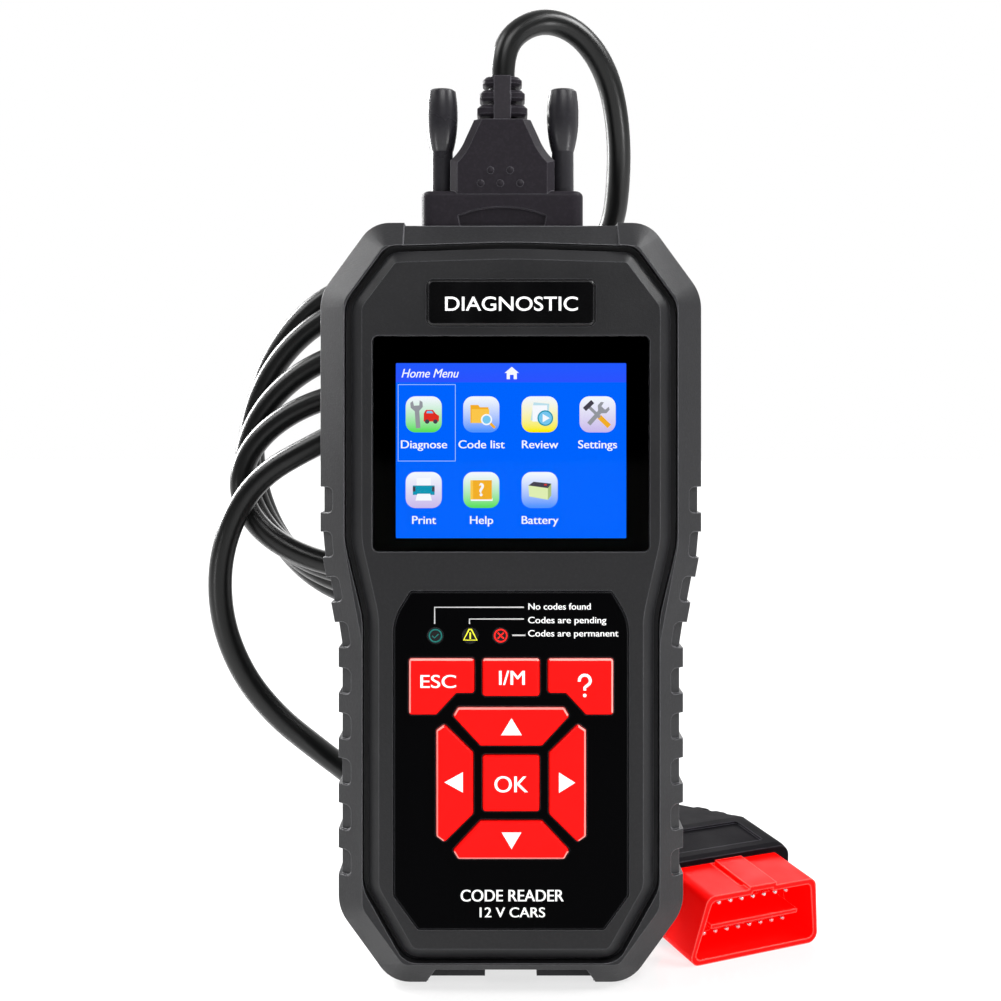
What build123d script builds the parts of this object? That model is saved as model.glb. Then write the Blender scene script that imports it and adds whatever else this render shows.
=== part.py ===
from build123d import *
import os
from math import pi, radians, tan

# Hand-held vehicle code reader with its diagnostic lead, standing upright.
# Millimetres.  +Z is up, +X is to the right of someone facing the screen, and
# the screen faces -Y.  Heights below are measured from a datum near the bottom
# of the case, FLOOR_Z is the floor, and save() moves every part up so that the
# origin is on the floor under the middle of the case.

os.makedirs("parts", exist_ok=True)

# ---------------------------------------------------------------- case sizes
FLOOR_Z = -3.4          # the floor, under the two feet
FACE_Y = -17.5          # flat front of the case
PLATE_Y = FACE_Y - 0.4  # front of the keypad plate
KEY_Y = -19.0           # front of the keys, the foremost surface
BACK_Y = 19.0           # back of the rear cover, the rearmost surface
BUMPER_FRONT_Y = -15.5
BUMPER_BACK_Y = 17.5
GROOVE_Y = -12.0        # floor of the groove between bumper and face
PARTING_Y = 0.0         # where the two covers meet
WALL = 2.4
FIT = 0.1               # gap between parts that are assembled together
BED_GAP = 0.15          # gap all round a part that is glued into a bed
CLEAR = 30.0            # a depth well beyond the case, for cuts that run right out
FACE_BEVEL = 3.0
FRONT_SLOPE = 7.0       # bevel of the bumper towards the face
BACK_SLOPE = 8.0        # bevel of the bumper towards the back
ARCH = 200.0            # radius that softens the arched top edge

# Half outlines, (x, z, corner radius), from the bottom centre to the top.
SILHOUETTE = [(32.3, FLOOR_Z, 10), (46.6, 16.3, 12), (46.6, 88.3, 25), (51.5, 114.8, 25),
              (51.5, 182.7, 12), (37.4, 202.0, 9)]
CORE = [(28.4, 4.1, 6), (39.5, 24.0, 10), (39.5, 95.8, 25), (44.3, 115.9, 25),
        (44.3, 179.8, 8), (33.2, 195.0, 5)]
PLATEAU = [(27.5, 5.6, 5), (38.0, 24.2, 9), (38.0, 96.4, 25), (42.5, 116.3, 25),
           (42.5, 179.6, 7), (32.1, 193.3, 4.5)]
CAVITY = [(25.8, 9.2, 3), (35.2, 26, 6), (35.2, 97.4, 25), (39.7, 116.8, 25),
          (39.7, 178.6, 5), (30.8, 190.6, 3)]
BOARD = [(21, 12, 1), (32.5, 29, 1), (32.5, 99, 4), (37, 118, 4),
         (37, 176, 1), (28, 188, 1)]
KEYPAD = [(24.6, 13.8, 1), (31.1, 22.8, 2), (31.1, 96, 14), (26.6, 103.3, 0.8)]
CORE_TOP = 196.2        # height of the arched top at the middle
PLATEAU_TOP = 194.3
TOP_BAR_Z = 201.1       # top of the bumper between its corner lobes
LOBE_X = 28.8
FOOT_X = 22.4           # inner side of each foot
FOOT_HEIGHT = 1.3

# ------------------------------------------------------------ bumper notches
NOTCH_COUNT = 9
NOTCH_PITCH = 12.2
NOTCH_TOP_Z = 130.6
NOTCH_HEIGHT = 7.0
NOTCH_REACH = 3.7       # how far in it runs over the front slope
NOTCH_DEPTH = 1.0
NOTCH_BACK_Y = 6.0

# --------------------------------------------------------- badge and screen
BADGE = (44.6, 12.2, 179.6)            # width, height, centre height
BADGE_CORNER = 1.8
BADGE_THICK = 1.6
BADGE_Y = FACE_Y - 0.8
LENS = (73.2, 57.0, 142.3)
LENS_CORNER = 1.7
LENS_Y = FACE_Y + 0.15
LENS_THICK = 1.5
DISPLAY = (61.2, 46.5, 140.45)
PANEL = (63.6, 49.4, 140.0)
MASK_THICK = 0.2
PANEL_Y = LENS_Y + LENS_THICK + MASK_THICK + 0.05
PANEL_THICK = 2.0
ROOF_Y = FACE_Y + WALL                 # inner side of the front wall

# --------------------------------------------------------------- keypad
PLATE_THICK = 1.6
KEY_GAP = 0.25
KEY_FLANGE = 0.7
KEY_FLANGE_Y = ROOF_Y + 0.3
KEY_TRAVEL = 0.8
BOARD_Y = -7.5
BOARD_THICK = 1.6
BOARD_BACK_Y = BOARD_Y + BOARD_THICK
MEMBRANE_THICK = 1.0
STEM_END_Y = BOARD_Y - MEMBRANE_THICK - KEY_TRAVEL - FIT
PAD_Z = 52.75                          # centre of the arrow pad
ESC = [(-26.9, 85.6), (-9.8, 85.6), (-9.8, 76.6), (-14.5, 76.6), (-19.8, 70.9), (-26.9, 70.9)]
ARROW = [(-14.0, 19.95), (14.0, 19.95), (15.3, 17.75), (8.1, 9.95), (-8.1, 9.95), (-15.3, 17.75)]
SIDE_ARROW = [(-19.7, -14.0), (-19.7, 14.0), (-17.6, 15.5), (-10.1, 8.1), (-10.1, -8.1),
              (-17.6, -15.5)]
LED_PLACES = {"led_green": -20.0, "led_yellow": -10.8, "led_red": -2.75}
LED_Z = 91.6
LED_R = 1.9

# ----------------------------------------------------------- back of the case
LABEL = (48.0, 34.0, 70.0)             # width, height, centre height
LABEL_CORNER = 1.4
LABEL_SINK = 0.5                       # its bed is this deep, and the foil is thinner
LABEL_THICK = 0.3
GRIP_RIBS = [112.0, 118.0, 124.0, 130.0, 136.0]
CASE_SCREWS = [(29.0, 27.0), (-29.0, 27.0), (31.5, 179.5), (-31.5, 179.5)]
CASE_HEAD_Y = 6.2                      # underside of the heads of the case screws
BOARD_SCREWS = [(24.0, 107.5), (-24.0, 107.5), (28.5, 90.0), (-28.5, 90.0)]
BOSS_R = 3.2
BOARD_BOSS_R = 2.6

# ------------------------------------------------- connector on the top
PORT_X = -2.3
JACK_X = 33.3 / 2                      # half the standard screw spacing
PORT_FLANGE_Z = 193.5                  # underside of the port's flange
PLUG_FLANGE_Z = 200.4                  # underside of the plug's flange
FLANGE_THICK = 1.0
HOOD_Y = 7.5                           # half thickness of the plug's hood
HOOD_BOTTOM = 196.4
HOOD_SHOULDER = 211.0
HOOD_TOP = 230.4
RELIEF_TOP = 243.0
KNOB_TOP = 239.6
# Ribs of the strain relief: lowest and highest point, and half width.
RELIEF_RIBS = [(231.4, 234.6, 6.9), (235.8, 238.8, 6.2), (240.0, 242.6, 5.4)]
GRIP_DOTS = [(-3.2, 216.4), (2.1, 216.4), (-5.9, 212.9), (-0.6, 212.9), (4.8, 212.9)]
SHAFT_R = 1.4
NUT_BORE_R = 1.45

# ------------------------------------------------------------------- lead
CORD_R = 3.5
ARC_ROUTE = [(PORT_X, 0, RELIEF_TOP), (PORT_X, 0, 250.5), (2.5, 2.0, 257.5), (11.0, 6.0, 261.0),
             (20.5, 9.5, 257.5), (27.8, 13.0, 247.5), (31.2, 17.5, 233.5), (31.8, 24.0, 218.5),
             (30.5, 32.0, 205.5), (24.0, 42.5, 197.8), (10.0, 52.0, 196.0), (-7.0, 58.5, 197.3),
             (-24.0, 61.5, 195.6)]
RUN_ROUTE = [(6.0, 36.0, 118.0), (6.0, 33.0, 140.0), (-10.0, 29.5, 154.5), (-30.0, 28.5, 154.8),
             (-57.0, 28.5, 142.0), (-76.0, 28.5, 131.0), (-85.3, 28.5, 112.0),
             (-86.0, 29.0, 92.0), (-80.0, 30.0, 74.5), (-70.0, 32.0, 61.0),
             (-58.0, 35.0, 50.5), (-46.0, 43.0, 39.0), (-39.0, 57.0, 26.5), (-38.0, 74.0, 13.0),
             (-37.0, 92.0, 3.2), (-27.0, 109.0, -0.5), (-9.0, 117.0, 8.0), (10.0, 112.0, 19.5)]
COIL_X = -38.0
COIL_RX = 44.0
COIL_BACK = (62.0, 89.0, 195.0)        # y, lowest and highest centre line
COIL_FRONT = (35.5, 103.0, 158.8)
TIE_WIDTH = 12.0
TIE_THICK = 1.4

# ------------------------------------------------------------ vehicle plug
PLUG_YAW = 28.0
PLUG_PITCH = 11.0
PLUG_AT = (69.6, 12.6, FLOOR_Z)        # bottom middle of its mouth
SHROUD_LENGTH = 17.0
SHROUD_HEIGHT = 20.5
SHROUD_WIDE = 45.5
SHROUD_NARROW = 37.8
SHROUD_WALL = 1.6
PIN_PITCH = 4.0
PIN_ROWS = (5.6, 14.4)
PIN_R = 0.75
HOOD_LENGTH = 45.0
HOOD_HEIGHT = 22.4
PLUG_RELIEF = 20.0
PLUG_AXIS_Z = 10.2
PANEL_SINK = 0.7                       # depth of the panel on top of its hood


# ------------------------------------------------------------------ helpers
def save(shape, node):
    export_step(Pos(0, 0, -FLOOR_Z) * shape, f"parts/{node}.step")


def facing(y):
    """The plane across the case at depth y, drawn in x and z."""
    return Plane.XZ.offset(-y)


def slab(sketch, front_y, back_y):
    """A sketch in x and z, filled from one depth to another."""
    return extrude(facing(back_y) * sketch, amount=back_y - front_y)


def column(sketch, low_z, high_z):
    """A sketch in x and y, filled from one height to another."""
    return extrude(Pos(0, 0, low_z) * sketch, amount=high_z - low_z)


def outline(half, top=None):
    """A mirrored outline with rounded corners; top adds an arched middle."""
    right = list(half)
    left = [(-x, z, r) for x, z, r in reversed(half)]
    middle = [] if top is None else [(0, top, ARCH)]
    corners = right + middle + left
    points = [(x, z) for x, z, _ in corners]
    radii = [r for _, _, r in corners]
    return make_face(FilletPolyline(*points, radius=radii, close=True).edges())


def rounded(width, height, z, corner, x=0.0):
    return Pos(x, z) * RectangleRounded(width, height, corner)


def block(x, y, z):
    """A box from its three (low, high) spans."""
    size = (x[1] - x[0], y[1] - y[0], z[1] - z[0])
    middle = ((x[0] + x[1]) / 2, (y[0] + y[1]) / 2, (z[0] + z[1]) / 2)
    return Pos(*middle) * Box(*size)


def rod(x, z, radius, front_y, back_y):
    """A round bar along y."""
    return slab(Pos(x, z) * Circle(radius), front_y, back_y)


def front_edges(shape):
    return shape.faces().sort_by(Axis.Y)[0].edges()


def back_edges(shape):
    return shape.faces().sort_by(Axis.Y)[-1].edges()


# --------------------------------------------------------------------- case
def side_at(z):
    """Half width of the bumper at height z, between its waist and corners."""
    low, high = SILHOUETTE[2], SILHOUETTE[3]
    share = min(1.0, max(0.0, (z - low[1]) / (high[1] - low[1])))
    return low[0] + share * (high[0] - low[0])


def notch(z, side):
    """What one grip notch removes from the bumper."""
    half = NOTCH_HEIGHT / 2
    x = side_at(z)
    lean = (side_at(z + half) - side_at(z - half)) / NOTCH_HEIGHT
    slope_y = BUMPER_FRONT_Y + FRONT_SLOPE
    front_y = slope_y - NOTCH_REACH
    section = [(-NOTCH_REACH, front_y - 2), (-NOTCH_REACH, front_y + 1.5 * NOTCH_DEPTH),
               (-NOTCH_DEPTH, slope_y + 0.4 * NOTCH_DEPTH), (-NOTCH_DEPTH, NOTCH_BACK_Y),
               (3, NOTCH_BACK_Y), (3, front_y - 2)]
    profile = make_face(Polyline(*section, close=True).edges())
    floor = extrude(Pos(0, 0, -half) * profile, amount=2 * half)
    face = slab(Pos(3 - NOTCH_REACH, 0) * RectangleRounded(6, NOTCH_HEIGHT, 1.6), -CLEAR, CLEAR)
    cutter = Pos(x, 0, z) * Rot(0, lean * 180 / pi, 0) * (floor & face)
    return cutter if side > 0 else mirror(cutter, about=Plane.YZ)


def make_bumper():
    body = slab(outline(SILHOUETTE), BUMPER_FRONT_Y, BUMPER_BACK_Y)
    body = chamfer(front_edges(body), FRONT_SLOPE)
    body = chamfer(back_edges(body), BACK_SLOPE)
    body -= slab(outline(CORE, CORE_TOP), -CLEAR, CLEAR)
    # The top bar between the lobes is lower and set back.
    low_z = SILHOUETTE[-1][1] - FRONT_SLOPE - 1
    bar = [(-CLEAR, low_z), (BUMPER_FRONT_Y, low_z + FIT), (-9.0, TOP_BAR_Z),
           (CLEAR, TOP_BAR_Z), (CLEAR, 205), (-CLEAR, 205)]
    cut = make_face(Polyline(*bar, close=True).edges())
    body -= extrude(Plane.YZ.offset(-LOBE_X) * cut, amount=2 * LOBE_X)
    # Room for the plug above the port.
    body -= block((PORT_X - 23, PORT_X + 23), (-9, 9), (190, 205))
    # Two feet: the bar between them is raised, and its front is set back.
    body -= block((-FOOT_X, FOOT_X), (-20, 20), (FLOOR_Z - 1, FLOOR_Z + FOOT_HEIGHT))
    recess_low, recess_high = FOOT_X + 1, FOOT_X - 2.2
    recess = [(-recess_low, FLOOR_Z - 1), (-recess_high, 1.8), (recess_high, 1.8),
              (recess_low, FLOOR_Z - 1)]
    body -= slab(make_face(Polyline(*recess, close=True).edges()), -CLEAR, -7.5)
    # The slot that leads to the service socket.
    body -= block((-7, 7), (-8, 0), (FLOOR_Z - 1, 6))
    for i in range(NOTCH_COUNT):
        z = NOTCH_TOP_Z - NOTCH_HEIGHT / 2 - i * NOTCH_PITCH
        body -= notch(z, 1)
        body -= notch(z, -1)
    return body


def port_room():
    """The space that the port takes from the top walls of both covers."""
    room = block((PORT_X - 20, PORT_X + 20), (-6.6, 6.6), (PORT_FLANGE_Z - FIT, 200))
    return room + block((PORT_X - 13.4, PORT_X + 13.4), (-5, 5), (185, 194))


def nut_room():
    spots = [PORT_X - JACK_X, PORT_X + JACK_X]
    return [column(Pos(x, 0) * Circle(2.5), 185, 194) for x in spots]


def bed(place, corner, gap, floor_y):
    """The cut that a plate (width, height, centre height) lies in."""
    width, height, z = place
    return slab(rounded(width + 2 * gap, height + 2 * gap, z, corner + gap), -CLEAR, floor_y)


def make_front_cover(keys):
    rim = slab(outline(inset(CORE), CORE_TOP - FIT), GROOVE_Y, PARTING_Y)
    plateau = slab(outline(PLATEAU, PLATEAU_TOP), FACE_Y, GROOVE_Y + 1)
    plateau = chamfer(front_edges(plateau), FACE_BEVEL)
    body = rim + plateau
    body -= slab(outline(CAVITY), ROOF_Y, PARTING_Y + 1)
    body += [rod(x, z, BOSS_R, ROOF_Y - 1, PARTING_Y) for x, z in CASE_SCREWS]
    body += [rod(x, z, BOARD_BOSS_R, ROOF_Y - 1, BOARD_Y) for x, z in BOARD_SCREWS]
    body -= [rod(x, z, 1.3, ROOF_Y + 1, PARTING_Y + 1) for x, z in CASE_SCREWS]
    body -= [rod(x, z, 1.0, ROOF_Y + 1, BOARD_Y + 1) for x, z in BOARD_SCREWS]
    body -= bed(BADGE, BADGE_CORNER, BED_GAP, BADGE_Y + BADGE_THICK)
    body -= bed(LENS, LENS_CORNER - BED_GAP, BED_GAP, LENS_Y + LENS_THICK + MASK_THICK)
    body -= bed(PANEL, 0.2, 2 * BED_GAP, ROOF_Y + 1)
    plate_bed = offset(outline(KEYPAD), BED_GAP, kind=Kind.INTERSECTION)
    body -= slab(plate_bed, -CLEAR, PLATE_Y + PLATE_THICK)
    for shape in keys.values():
        body -= slab(offset(shape, KEY_GAP + FIT, kind=Kind.INTERSECTION), -CLEAR, ROOF_Y + 1)
    body -= [rod(x, LED_Z, LED_R + 0.2, -CLEAR, ROOF_Y + 1) for x in LED_PLACES.values()]
    body -= port_room()
    body -= nut_room()
    body -= block((-4.3, 4.3), (-6.0, -1.7), (0, 12))
    return body


def inset(half):
    """The outline drawn in by the assembly gap."""
    return [(x - FIT, z + FIT if z < 10 else z, r) for x, z, r in half]


def make_rear_cover():
    body = slab(outline(inset(CORE), CORE_TOP - FIT), PARTING_Y, BACK_Y)
    body = chamfer(back_edges(body), 1.2)
    body -= slab(outline(CAVITY), PARTING_Y - 1, BACK_Y - WALL)
    body += [rod(x, z, BOSS_R + 0.8, PARTING_Y, BACK_Y - 1.5) for x, z in CASE_SCREWS]
    body -= [rod(x, z, 1.6, PARTING_Y - 1, BACK_Y) for x, z in CASE_SCREWS]
    body -= [rod(x, z, 3.0, CASE_HEAD_Y, BACK_Y + 1) for x, z in CASE_SCREWS]
    width, height, z = LABEL
    label_bed = rounded(width + 2 * BED_GAP, height + 2 * BED_GAP, z, LABEL_CORNER + FIT)
    body -= slab(label_bed, BACK_Y - LABEL_SINK, BACK_Y + 1)
    # Grip grooves pressed into the back.
    for z in GRIP_RIBS:
        body -= slab(rounded(40, 2.2, z, 1.0), BACK_Y - 0.8, BACK_Y + 1)
    body -= port_room()
    body -= nut_room()
    return body


def make_label():
    front = BACK_Y - LABEL_SINK
    return slab(rounded(*LABEL, LABEL_CORNER), front, front + LABEL_THICK)


def make_badge():
    plate = slab(rounded(*BADGE, BADGE_CORNER), BADGE_Y, BADGE_Y + BADGE_THICK)
    return chamfer(front_edges(plate), 0.5)


def make_lens():
    plate = slab(rounded(*LENS, LENS_CORNER - FIT), LENS_Y, LENS_Y + LENS_THICK)
    return chamfer(front_edges(plate), 0.3)


def make_mask():
    back = LENS_Y + LENS_THICK
    film = slab(rounded(LENS[0] - 0.4, LENS[1] - 0.4, LENS[2], 1.2), back, back + MASK_THICK)
    return film - slab(rounded(*DISPLAY, 0.3), -CLEAR, 0)


def make_lcd():
    return slab(rounded(*PANEL, 0.3), PANEL_Y, PANEL_Y + PANEL_THICK)


def make_lcd_frame():
    back = PANEL_Y + PANEL_THICK
    frame = slab(rounded(70, 57, 141, 1), ROOF_Y + FIT, back + 2.4)
    return frame - slab(rounded(PANEL[0] + 0.2, PANEL[1] + 0.2, PANEL[2], 0.3), ROOF_Y - 1, back)


def make_lcd_flex():
    top_y = PANEL_Y + PANEL_THICK + 2.5
    strip = [(top_y, 128.0), (top_y, 111.5), (BOARD_Y - 0.3, 105.0), (BOARD_Y - 0.3, 98.0)]
    line = [(y + 0.25, z) for y, z in reversed(strip)]
    face = make_face(Polyline(*(strip + line), close=True).edges())
    return extrude(Plane.YZ.offset(-9) * face, amount=18)


# ------------------------------------------------------------------- keypad
def key_shape(points, flip_x=1, flip_z=1, z=0.0):
    placed = [(flip_x * x, flip_z * h + z) for x, h in points]
    face = make_face(Polyline(*placed, close=True).edges())
    return fillet(face.vertices(), 0.7)


def key_shapes():
    """Front outline of every key, by node name."""
    return {
        "key_esc": key_shape(ESC),
        "key_help": key_shape(ESC, flip_x=-1),
        "key_monitor": rounded(14.9, 9.8, 80.7, 0.7),
        "key_up": key_shape(ARROW, z=PAD_Z),
        "key_down": key_shape(ARROW, flip_z=-1, z=PAD_Z),
        "key_left": key_shape(SIDE_ARROW, z=PAD_Z),
        "key_right": key_shape(SIDE_ARROW, flip_x=-1, z=PAD_Z),
        "key_ok": rounded(14.8, 14.7, PAD_Z, 0.7),
    }


def make_key(shape):
    cap = slab(shape, KEY_Y, KEY_FLANGE_Y)
    cap = chamfer(front_edges(cap), 0.45)
    flange = slab(offset(shape, KEY_FLANGE, kind=Kind.INTERSECTION), KEY_FLANGE_Y, KEY_FLANGE_Y + 1)
    middle = shape.center()
    x, z = middle.X, middle.Y
    return cap + flange + rod(x, z, 2.0, KEY_FLANGE_Y + 0.5, STEM_END_Y)


def make_keypad_plate(keys):
    plate = slab(outline(KEYPAD), PLATE_Y, PLATE_Y + PLATE_THICK)
    plate = chamfer(front_edges(plate), 0.3)
    for shape in keys.values():
        plate -= slab(offset(shape, KEY_GAP, kind=Kind.INTERSECTION), -CLEAR, 0)
    plate -= [rod(x, LED_Z, LED_R + FIT, -CLEAR, 0) for x in LED_PLACES.values()]
    return plate


def make_membrane():
    return slab(rounded(54, 60, 59, 2), BOARD_Y - MEMBRANE_THICK, BOARD_Y)


def make_led(x):
    guide = rod(x, LED_Z, LED_R, PLATE_Y - 0.05, BOARD_Y - 1.4)
    return guide + slab(Pos(x, LED_Z) * Rectangle(3, 3), BOARD_Y - 1.6, BOARD_Y)


# -------------------------------------------------------------- electronics
def make_board():
    board = slab(outline(BOARD), BOARD_Y, BOARD_Y + BOARD_THICK)
    board -= [rod(x, z, BOSS_R + 0.3, -20, 20) for x, z in CASE_SCREWS]
    board -= [rod(x, z, 1.2, -20, 20) for x, z in BOARD_SCREWS]
    return board


def on_board(x, z, width, height, thick):
    """A part that lies on the back of the board."""
    return slab(Pos(x, z) * Rectangle(width, height), BOARD_BACK_Y, BOARD_BACK_Y + thick)


def make_signal_chips():
    places = [(-18, 150), (18, 150), (-18, 128), (18, 128), (-20, 60), (20, 60)]
    return [on_board(x, z, 6, 5, 1.6) for x, z in places]


def make_power_parts():
    cans = [rod(x, 168, 3.0, BOARD_BACK_Y, BOARD_BACK_Y + 6) for x in (-20, -12, 12, 20)]
    coils = [on_board(x, 158, 6, 6, 3) for x in (-10, 10)]
    return cans + coils


def cross_slot(x, z, length, width, floor_y):
    """The cross that a screwdriver fits."""
    cross = Rectangle(length, width) + Rectangle(width, length)
    return slab(Pos(x, z) * cross, floor_y, floor_y + 2)


def make_case_screws():
    screws = []
    for x, z in CASE_SCREWS:
        head = rod(x, z, 2.8, CASE_HEAD_Y, CASE_HEAD_Y + 1.8) - cross_slot(x, z, 3.6, 0.7, CASE_HEAD_Y + 1)
        screws.append(head + rod(x, z, 1.25, -8, CASE_HEAD_Y + 0.3))
    return screws


def make_board_screws():
    back = BOARD_BACK_Y
    screws = []
    for x, z in BOARD_SCREWS:
        head = rod(x, z, 2.0, back, back + 1.2) - cross_slot(x, z, 2.4, 0.5, back + 0.7)
        screws.append(head + rod(x, z, 0.95, BOARD_Y - 4, back + 0.3))
    return screws


def make_usb():
    """Service socket in the bottom edge: its metal shell and its tongue."""
    y = (BOARD_BACK_Y, BOARD_BACK_Y + 3.9)
    shell = block((-3.85, 3.85), y, (5.2, 14.2))
    shell -= block((-3.45, 3.45), (y[0] + 0.4, y[1] - 0.4), (4, 13.6))
    tongue = block((-2.4, 2.4), (y[0] + 1.5, y[0] + 2.4), (6.2, 13.6))
    return shell, tongue


# ------------------------------------------------------ connector at the top
def d_shape(width, height):
    """The D of a connector, in x and y, its wide side to the front."""
    lean = height * tan(radians(10))
    points = [(-width / 2, -height / 2), (width / 2, -height / 2),
              (width / 2 - lean, height / 2), (-width / 2 + lean, height / 2)]
    face = make_face(Polyline(*points, close=True).edges())
    return Pos(PORT_X, 0) * fillet(face.vertices(), 2.0)


def flange_plate(low_z, hole_r):
    sheet = Pos(PORT_X, 0) * RectangleRounded(39.2, 12.5, 1.5)
    for side in (-1, 1):
        sheet -= Pos(PORT_X + side * JACK_X, 0) * Circle(hole_r)
    return column(sheet, low_z, low_z + FLANGE_THICK)


def pin_places():
    rows = [(8, -1.42), (7, 1.42)]
    return [(PORT_X + 2.77 * (i - (count - 1) / 2), y) for count, y in rows for i in range(count)]


def make_port():
    shell = flange_plate(PORT_FLANGE_Z, 2.25) + column(d_shape(25.9, 9.1), 194.0, 200.0)
    shell -= column(d_shape(24.9, 8.1), 190, 202)
    insulator = column(d_shape(24.7, 7.9), 188, 194.2)
    insulator -= [column(Pos(x, y) * Circle(0.5), 180, 200) for x, y in pin_places()]
    pins = [column(Pos(x, y) * Circle(0.5), 186, 199.2) for x, y in pin_places()]
    return shell, insulator, pins


def make_jack_nuts():
    nuts = []
    for side in (-1, 1):
        at = Pos(PORT_X + side * JACK_X, 0)
        nut = column(at * RegularPolygon(2.75, 6), 194.5, 199.3)
        nut += column(at * Circle(2.2), 190.5, 195)
        nuts.append(nut - column(at * Circle(NUT_BORE_R), 180, 201))
    return nuts


def make_plug_insert():
    shell = flange_plate(PLUG_FLANGE_Z, 1.8) + column(d_shape(24.5, 7.7), 194.8, 201)
    shell -= column(d_shape(23.9, 7.1), 190, 202)
    insulator = column(d_shape(23.8, 7.0), 195.0, 206)
    insulator -= [column(Pos(x, y) * Circle(0.6), 190, 201) for x, y in pin_places()]
    return shell, insulator


def mirrored_profile(right):
    """A face from edges on the right of x = 0 and their mirror images."""
    left = mirror(right, about=Plane.YZ)
    return make_face(right.edges() + left.edges())


def waisted_body():
    """The upper hood, seen from the front: shoulders that draw in to the cord."""
    low = HOOD_SHOULDER - 1
    right = Curve() + [
        Line((0, low), (14.2, low)),
        Line((14.2, low), (14.2, 219.4)),
        ThreePointArc((14.2, 219.4), (11.7, 222.2), (10.0, 225.4)),
        Line((10.0, 225.4), (7.7, HOOD_TOP)),
        Line((7.7, HOOD_TOP), (0, HOOD_TOP)),
    ]
    body = slab(mirrored_profile(right), -HOOD_Y, HOOD_Y)

    def is_rail(edge):
        middle = edge.center()
        return abs(abs(middle.Y) - HOOD_Y) < 0.01 and abs(middle.X) > 8

    return chamfer(body.edges().filter_by(is_rail), 2.0)


def crescent():
    """The hollow under the thumb, bounded by a shallow arc."""
    right = Curve() + [
        ThreePointArc((0, 206.5), (6.2, 205.9), (12.0, 204.1)),
        Line((12.0, 204.1), (10.4, 195)),
        Line((10.4, 195), (0, 195)),
    ]
    return mirrored_profile(right)


def strain_relief():
    """A core, three ribs and a tapered spine that joins them."""
    relief = column(Circle(3.9), HOOD_TOP - 1, RELIEF_TOP)
    for low, high, half in RELIEF_RIBS:
        rib = column(RectangleRounded(2 * half, 2 * half - 1.4, 2.6), low, high)
        ends = rib.faces().filter_by(Axis.Z).edges()
        relief += chamfer(ends, 0.8)
    low, high = HOOD_TOP - 1, RELIEF_TOP - 0.2
    spine = [(-7.2, low), (7.2, low), (5.0, high), (-5.0, high)]
    face = make_face(Polyline(*spine, close=True).edges())
    return relief + extrude(Plane.YZ.offset(-2.3) * face, amount=4.6)


def make_dsub_hood():
    base = column(RectangleRounded(44, 2 * HOOD_Y, 3), HOOD_BOTTOM, HOOD_SHOULDER)
    base = fillet(base.faces().sort_by(Axis.Z)[-1].edges(), 1.6)
    hood = base + waisted_body() + strain_relief()
    # Five grip dots and a crescent hollow on each broad side.
    for side in (-1, 1):
        y = side * HOOD_Y
        hood += [Pos(x, y - side * 0.35, z) * Sphere(1.0) for x, z in GRIP_DOTS]
        floor_y, clear_y = y - side * 0.9, y + side
        hood -= slab(crescent(), min(floor_y, clear_y), max(floor_y, clear_y))
    hood -= block((-20, 20), (-6.5, 6.5), (190, 201.6))
    hood -= block((-12.4, 12.4), (-4, 4), (200, 206.2))
    hood -= [column(Pos(s * JACK_X, 0) * Circle(1.7), 190, 215) for s in (-1, 1)]
    hood -= [column(Pos(s * JACK_X, 0) * Circle(3.5), HOOD_SHOULDER, 240) for s in (-1, 1)]
    return Pos(PORT_X, 0, 0) * hood


def make_thumbscrew(side):
    """A knob and its threaded shaft, turned about z."""
    low, high = HOOD_SHOULDER + 0.2, KNOB_TOP
    half = make_face((
        Line((0, low), (3.1, low)) + Line((3.1, low), (3.05, 222.6))
        + ThreePointArc((3.05, 222.6), (4.35, 229.5), (4.45, 233.0))
        + ThreePointArc((4.45, 233.0), (4.3, 236.3), (3.9, high - 0.4))
        + Line((3.9, high - 0.4), (3.5, high)) + Line((3.5, high), (0, high))
        + Line((0, high), (0, low))
    ).edges())
    knob = revolve(Plane.XZ * half, Axis.Z)
    shaft = column(Circle(SHAFT_R), 191.5, 216)
    at = Pos(PORT_X + side * JACK_X, 0, 0)
    return at * (knob - shaft), at * shaft


# --------------------------------------------------------------------- lead
def corner_radii(route):
    """As large an arc at each point as the two runs beside it allow."""
    points = [Vector(*p) for p in route]
    radii = []
    for before, at, after in zip(points, points[1:], points[2:]):
        turn = (at - before).get_angle(after - at)
        shorter = min((at - before).length, (after - at).length)
        radii.append(0.45 * shorter / tan(radians(turn / 2)))
    return radii


def make_tube(route, name):
    radii = corner_radii(route)
    path = FilletPolyline(*route, radius=radii)
    start = Plane(origin=path @ 0, z_dir=path % 0)
    tube = sweep(start * Circle(CORD_R), path=path)
    share = tube.volume / (pi * CORD_R ** 2 * path.length)
    print(name, "radii", [round(r) for r in radii])
    print(name, "length", round(path.length, 1), "volume share", round(share, 4))
    return tube


def coil_section(y, low, high, grow):
    """The ellipse of the coil's turns at one depth."""
    middle = (low + high) / 2
    return facing(y) * Pos(COIL_X, middle) * Ellipse(COIL_RX + grow, (high - low) / 2 + grow)


def make_coil():
    back_y, front_y = COIL_BACK[0] + CORD_R, COIL_FRONT[0] - CORD_R
    outer = [coil_section(back_y, *COIL_BACK[1:], CORD_R),
             coil_section(front_y, *COIL_FRONT[1:], CORD_R)]
    inner = [coil_section(back_y + 1, *COIL_BACK[1:], -CORD_R),
             coil_section(front_y - 1, *COIL_FRONT[1:], -CORD_R)]
    return loft(outer, ruled=True) - loft(inner, ruled=True)


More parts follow.
